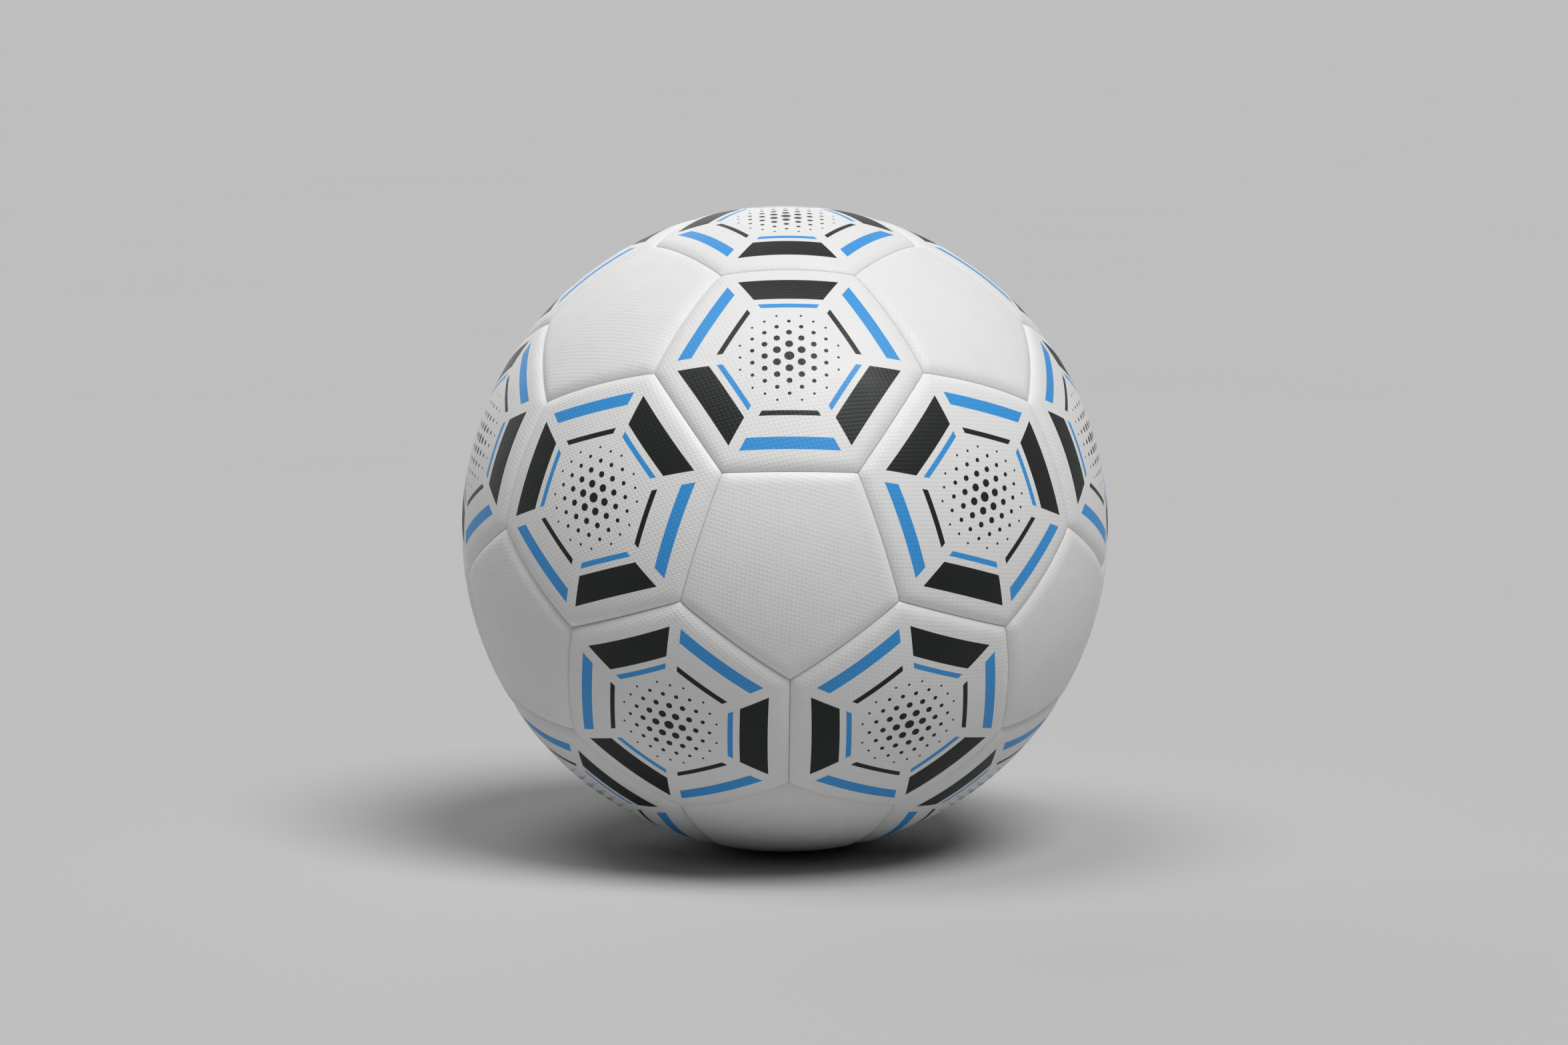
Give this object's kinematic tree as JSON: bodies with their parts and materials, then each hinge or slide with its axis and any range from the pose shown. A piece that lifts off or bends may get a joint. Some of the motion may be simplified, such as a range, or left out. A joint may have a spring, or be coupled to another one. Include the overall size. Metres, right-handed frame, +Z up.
{
  "type": "futsal ball",
  "caption": "Low-bounce indoor football of bonded pentagon and hexagon panels over a wound, foam-lined bladder, inflated through a needle valve.",
  "frame": {"origin": "centre of the ball", "axes": "-Y through the middle of the front pentagon, which has a level top edge; +Y out through the valve; +Z up"},
  "size_m": [0.1998, 0.1999, 0.2],
  "materials": {
    "white_skin": "satin",
    "printed_skin": "satin",
    "foam": "matte",
    "carcass_rubber": "matte",
    "thread": "matte",
    "bladder_rubber": "satin",
    "lining_foam": "matte",
    "seat_rubber": "satin",
    "core_rubber": "satin"
  },
  "bodies": {
    "ball": {"pentagon_front": "white_skin", "hexagon_front_1": "printed_skin", "hexagon_front_2": "printed_skin", "hexagon_front_3": "printed_skin", "hexagon_front_4": "printed_skin", "hexagon_front_5": "printed_skin", "pentagon_mid_front_1": "white_skin", "pentagon_mid_front_2": "white_skin", "pentagon_mid_front_3": "white_skin", "pentagon_mid_front_4": "white_skin", "pentagon_mid_front_5": "white_skin", "hexagon_mid_front_1": "printed_skin", "hexagon_mid_front_2": "printed_skin", "hexagon_mid_front_3": "printed_skin", "hexagon_mid_front_4": "printed_skin", "hexagon_mid_front_5": "printed_skin", "hexagon_mid_back_1": "printed_skin", "hexagon_mid_back_2": "printed_skin", "hexagon_mid_back_3": "printed_skin", "hexagon_mid_back_4": "printed_skin", "hexagon_mid_back_5": "printed_skin", "pentagon_mid_back_1": "white_skin", "pentagon_mid_back_2": "white_skin", "pentagon_mid_back_3": "white_skin", "pentagon_mid_back_4": "white_skin", "pentagon_mid_back_5": "white_skin", "hexagon_back_1": "printed_skin", "hexagon_back_2": "printed_skin", "hexagon_back_3": "printed_skin", "hexagon_back_4": "printed_skin", "hexagon_back_5": "printed_skin", "pentagon_valve": "white_skin", "pentagon_foam_pads": "foam", "hexagon_foam_pads": "foam", "carcass_shell": "carcass_rubber", "thread_winding": "thread", "bladder": "bladder_rubber", "damping_lining": "lining_foam", "valve_seat": "seat_rubber"},
    "valve_core": {"valve_core": "core_rubber"}
  },
  "joints": [
    {"name": "valve_core_slide", "type": "slide", "parent": "ball", "child": "valve_core", "axis": [0, 1, 0], "range_m": [0, 0.025]}
  ]
}
